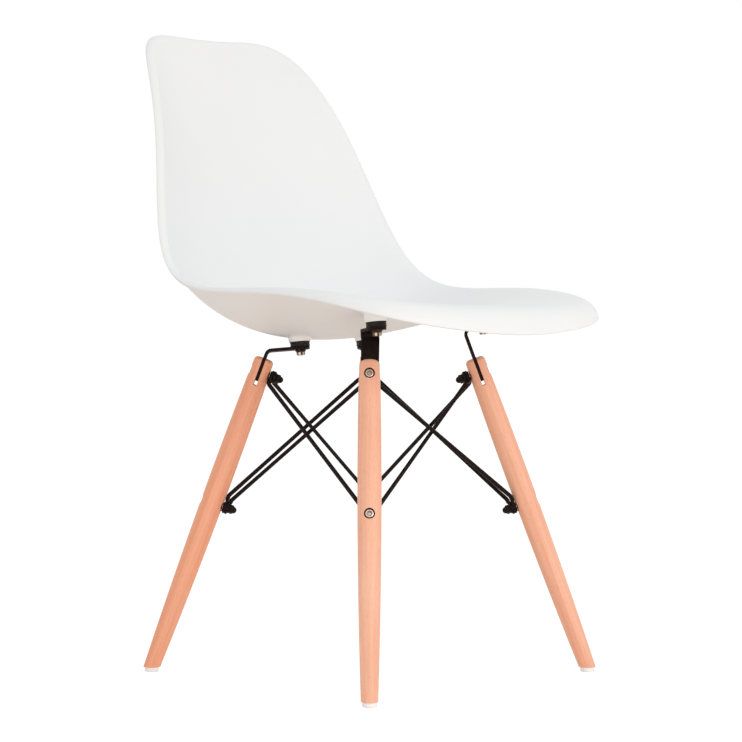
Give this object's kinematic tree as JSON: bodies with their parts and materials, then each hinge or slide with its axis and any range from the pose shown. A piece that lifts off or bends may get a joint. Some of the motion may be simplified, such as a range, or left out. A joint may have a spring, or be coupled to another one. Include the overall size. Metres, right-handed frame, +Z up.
{
  "type": "moulded shell side chair",
  "caption": "Side chair with a one-piece moulded plastic bucket shell on splayed turned wooden legs, hung from bent steel brackets and braced by crossed wire rods.",
  "frame": {"origin": "on the floor under the middle of the whole chair's width and depth", "axes": "+Z up, +Y towards the back of the chair, so that a sitter faces -Y, +X to the right in a view from the front"},
  "size_m": [0.4642, 0.5887, 0.8228],
  "materials": {
    "shell_plastic": "white polypropylene with a fine satin surface",
    "brass": "turned and knurled",
    "black_rubber": "matt black rubber",
    "black_steel": "black powder coat, satin",
    "yellow_zinc": "yellow zinc plated steel",
    "beech": "beech with a thin clear satin lacquer",
    "white_nylon": "white nylon",
    "bright_steel": "bright zinc plated steel"
  },
  "bodies": {
    "root": {"seat_shell": "shell_plastic", "boss_inserts": "brass", "rubber_pad_front_left": "black_rubber", "rubber_pad_front_right": "black_rubber", "rubber_pad_rear_left": "black_rubber", "rubber_pad_rear_right": "black_rubber", "leg_bracket_front_left": "black_steel", "leg_bracket_front_right": "black_steel", "leg_bracket_rear_left": "black_steel", "leg_bracket_rear_right": "black_steel", "seat_bolts": "yellow_zinc", "seat_spring_washers": "yellow_zinc", "seat_washers": "yellow_zinc", "leg_front_left": "beech", "leg_front_right": "beech", "leg_rear_left": "beech", "leg_rear_right": "beech", "foot_glide_front_left": "white_nylon", "foot_glide_front_right": "white_nylon", "foot_glide_rear_left": "white_nylon", "foot_glide_rear_right": "white_nylon", "glide_nails": "bright_steel", "leg_bolts_upper": "bright_steel", "leg_bolts_lower": "bright_steel", "brace_rod_front_outer": "black_steel", "brace_rod_front_inner": "black_steel", "brace_rod_rear_outer": "black_steel", "brace_rod_rear_inner": "black_steel", "brace_rod_left_outer": "black_steel", "brace_rod_left_inner": "black_steel", "brace_rod_right_outer": "black_steel", "brace_rod_right_inner": "black_steel", "rod_washers": "black_steel", "cap_nuts": "black_steel"}
  },
  "joints": []
}
